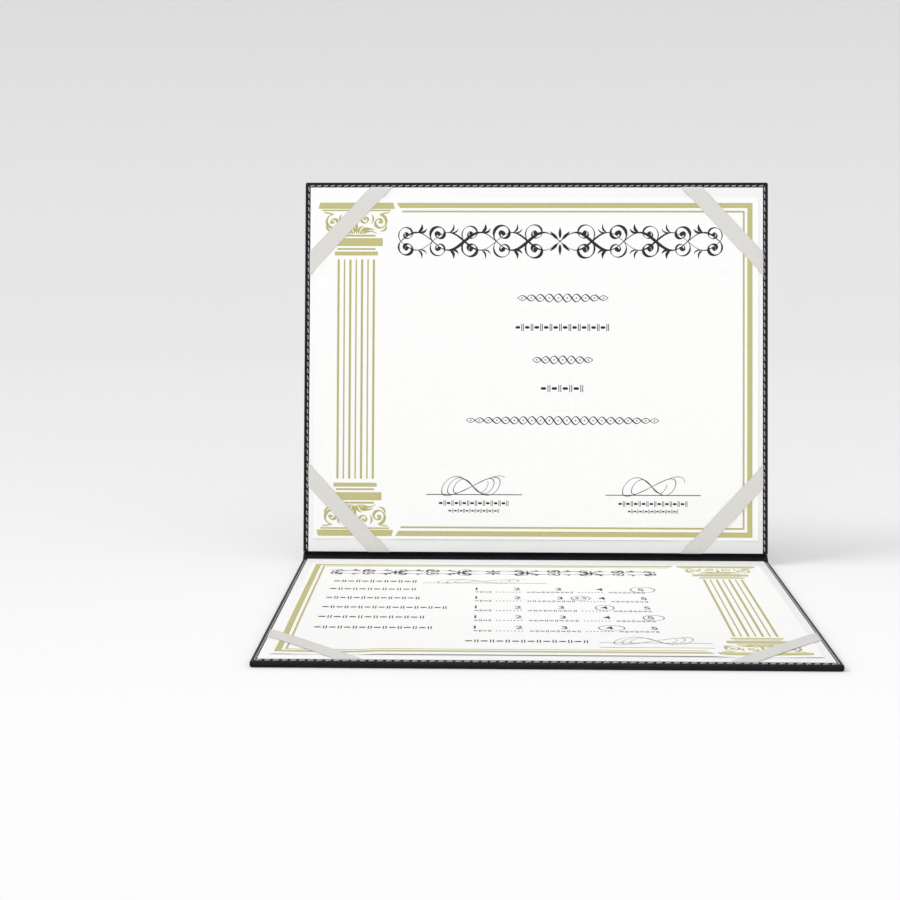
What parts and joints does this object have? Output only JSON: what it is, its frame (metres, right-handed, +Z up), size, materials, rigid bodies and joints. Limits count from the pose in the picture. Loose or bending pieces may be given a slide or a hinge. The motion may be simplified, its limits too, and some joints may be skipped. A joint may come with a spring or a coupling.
{
  "type": "certificate holder",
  "caption": "Book-style leatherette certificate holder: stitched covers on a soft folding spine, white card panels and corner ribbons that hold printed sheets.",
  "frame": {"origin": "middle of the base half's flat underside, on the table", "axes": "+X to the right along the spine, +Y from the base half's free edge to the spine, +Z up"},
  "size_m": [0.2922, 0.2825, 0.2375],
  "materials": {
    "leatherette": "charcoal brown, fine lengthwise brushed grain, satin",
    "lining": "near black, fine pebble grain, satin",
    "greyboard": "raw grey pulp board",
    "white_card": "white card, matte",
    "paper": "smooth white certificate paper with gold and black print",
    "ribbon": "pearl satin ribbon",
    "thread": "twisted sewing thread, matte"
  },
  "bodies": {
    "base_half": {"base_cover": "leatherette", "base_board": "greyboard", "base_hinge_lining": "lining", "base_insert_panel": "white_card", "base_certificate": "paper", "base_ribbon_front_left": "ribbon", "base_ribbon_front_right": "ribbon", "base_outer_thread": "thread", "base_inner_thread": "thread"},
    "spine": {"spine_cover": "leatherette", "spine_lining": "lining"},
    "display_half": {"display_cover": "leatherette", "display_board": "greyboard", "display_hinge_lining": "lining", "display_insert_panel": "white_card", "display_certificate": "paper", "display_ribbon_top_left": "ribbon", "display_ribbon_top_right": "ribbon", "display_ribbon_bottom_left": "ribbon", "display_ribbon_bottom_right": "ribbon", "display_outer_thread": "thread", "display_inner_thread": "thread"}
  },
  "joints": [
    {"name": "base_crease", "type": "hinge", "parent": "base_half", "child": "spine", "pos_m": [0, 0.11756, 0.00042], "axis": [1, 0, 0], "range_deg": [-40, 50]},
    {"name": "display_crease", "type": "hinge", "parent": "spine", "child": "display_half", "pos_m": [0, 0.12381, 0.00566], "axis": [1, 0, 0], "range_deg": [-40, 50]}
  ],
  "couplings": [
    {"joint": "display_crease", "follows": "base_crease", "ratio": 1}
  ]
}
